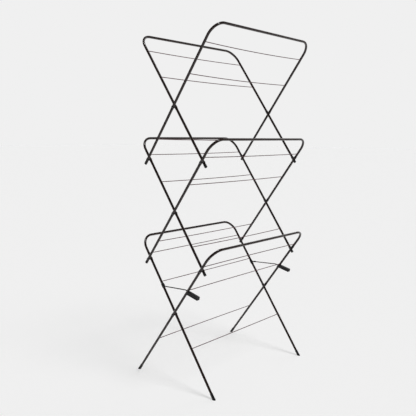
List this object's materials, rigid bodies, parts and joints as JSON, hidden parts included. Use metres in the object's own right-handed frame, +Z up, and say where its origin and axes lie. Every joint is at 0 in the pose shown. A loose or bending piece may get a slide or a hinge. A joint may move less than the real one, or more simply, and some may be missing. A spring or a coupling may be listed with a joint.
{
  "type": "clothes drying rack",
  "caption": "Folding scissor-frame clothes airer in stacked tiers, with bent-tube rails, thin wire rails, lock stays with plastic grips, and capped feet.",
  "frame": {"origin": "on the floor, under the middle of the open airer", "axes": "+X along the rails, -Y the side the hand grips stick out of (the front), +Z up"},
  "size_m": [0.6542, 0.456, 1.4641],
  "materials": {
    "frame_paint": "dark grey gloss enamel on bent steel tube",
    "wire_coating": "thin dark grey coat on steel wire",
    "black_plastic": "moulded black plastic, satin",
    "rivet_steel": "dark plated steel"
  },
  "bodies": {
    "lower_front": {"lower_front_frame": "frame_paint", "lower_front_wire_1": "wire_coating", "lower_front_wire_2": "wire_coating", "lower_front_wire_3": "wire_coating", "lower_front_foot_left": "black_plastic", "lower_front_foot_right": "black_plastic", "lower_centre_rivet_left": "rivet_steel", "lower_centre_rivet_right": "rivet_steel", "lower_tier_front_rivet_left": "rivet_steel", "lower_tier_front_rivet_right": "rivet_steel"},
    "lower_back": {"lower_back_frame": "frame_paint", "lower_back_wire_1": "wire_coating", "lower_back_wire_2": "wire_coating", "lower_back_wire_3": "wire_coating", "lower_back_foot_left": "black_plastic", "lower_back_foot_right": "black_plastic", "lock_stay_clip_left": "black_plastic", "lock_stay_clip_right": "black_plastic", "lower_tier_back_rivet_left": "rivet_steel", "lower_tier_back_rivet_right": "rivet_steel"},
    "middle_back": {"middle_back_frame": "frame_paint", "middle_back_wire_1": "wire_coating", "middle_back_wire_2": "wire_coating", "middle_back_wire_3": "wire_coating", "middle_back_cap_left": "black_plastic", "middle_back_cap_right": "black_plastic", "middle_centre_rivet_left": "rivet_steel", "middle_centre_rivet_right": "rivet_steel", "upper_tier_back_rivet_left": "rivet_steel", "upper_tier_back_rivet_right": "rivet_steel"},
    "middle_front": {"middle_front_frame": "frame_paint", "middle_front_wire_1": "wire_coating", "middle_front_wire_2": "wire_coating", "middle_front_wire_3": "wire_coating", "middle_front_cap_left": "black_plastic", "middle_front_cap_right": "black_plastic", "upper_tier_front_rivet_left": "rivet_steel", "upper_tier_front_rivet_right": "rivet_steel"},
    "upper_back": {"upper_back_frame": "frame_paint", "upper_back_wire_1": "wire_coating", "upper_back_wire_2": "wire_coating", "upper_back_wire_3": "wire_coating", "upper_back_cap_left": "black_plastic", "upper_back_cap_right": "black_plastic", "upper_centre_rivet_left": "rivet_steel", "upper_centre_rivet_right": "rivet_steel"},
    "upper_front": {"upper_front_frame": "frame_paint", "upper_front_wire_1": "wire_coating", "upper_front_wire_2": "wire_coating", "upper_front_wire_3": "wire_coating", "upper_front_cap_left": "black_plastic", "upper_front_cap_right": "black_plastic"},
    "left_stay": {"lock_stay_wire_left": "wire_coating", "lock_stay_grip_left": "black_plastic"},
    "right_stay": {"lock_stay_wire_right": "wire_coating", "lock_stay_grip_right": "black_plastic"}
  },
  "joints": [
    {"name": "fold", "type": "hinge", "parent": "lower_front", "child": "lower_back", "pos_m": [0, 0, 0.30415], "axis": [1, 0, 0], "range_deg": [0, 55.5]},
    {"name": "lower_tier_front_pivot", "type": "hinge", "parent": "lower_front", "child": "middle_back", "pos_m": [0, -0.15384, 0.51746], "axis": [1, 0, 0], "range_deg": [0, 55.5]},
    {"name": "middle_cross_pivot", "type": "hinge", "parent": "middle_back", "child": "middle_front", "pos_m": [0, 0, 0.73077], "axis": [1, 0, 0], "range_deg": [-55.5, 0]},
    {"name": "upper_tier_front_pivot", "type": "hinge", "parent": "middle_front", "child": "upper_back", "pos_m": [0, -0.15384, 0.94408], "axis": [1, 0, 0], "range_deg": [0, 55.5]},
    {"name": "upper_cross_pivot", "type": "hinge", "parent": "upper_back", "child": "upper_front", "pos_m": [0, 0, 1.15739], "axis": [1, 0, 0], "range_deg": [-55.5, 0]},
    {"name": "left_stay_pivot", "type": "hinge", "parent": "lower_back", "child": "left_stay", "pos_m": [-0.312, 0.0778, 0.41202], "axis": [1, 0, 0], "range_deg": [0, 47.2]},
    {"name": "right_stay_pivot", "type": "hinge", "parent": "lower_back", "child": "right_stay", "pos_m": [0.312, 0.0778, 0.41202], "axis": [1, 0, 0], "range_deg": [0, 47.2]}
  ],
  "couplings": [
    {"joint": "lower_tier_front_pivot", "follows": "fold", "ratio": 1},
    {"joint": "middle_cross_pivot", "follows": "fold", "ratio": -1},
    {"joint": "upper_tier_front_pivot", "follows": "fold", "ratio": 1},
    {"joint": "upper_cross_pivot", "follows": "fold", "ratio": -1},
    {"joint": "left_stay_pivot", "follows": "fold", "ratio": 0.85},
    {"joint": "right_stay_pivot", "follows": "fold", "ratio": 0.85}
  ]
}
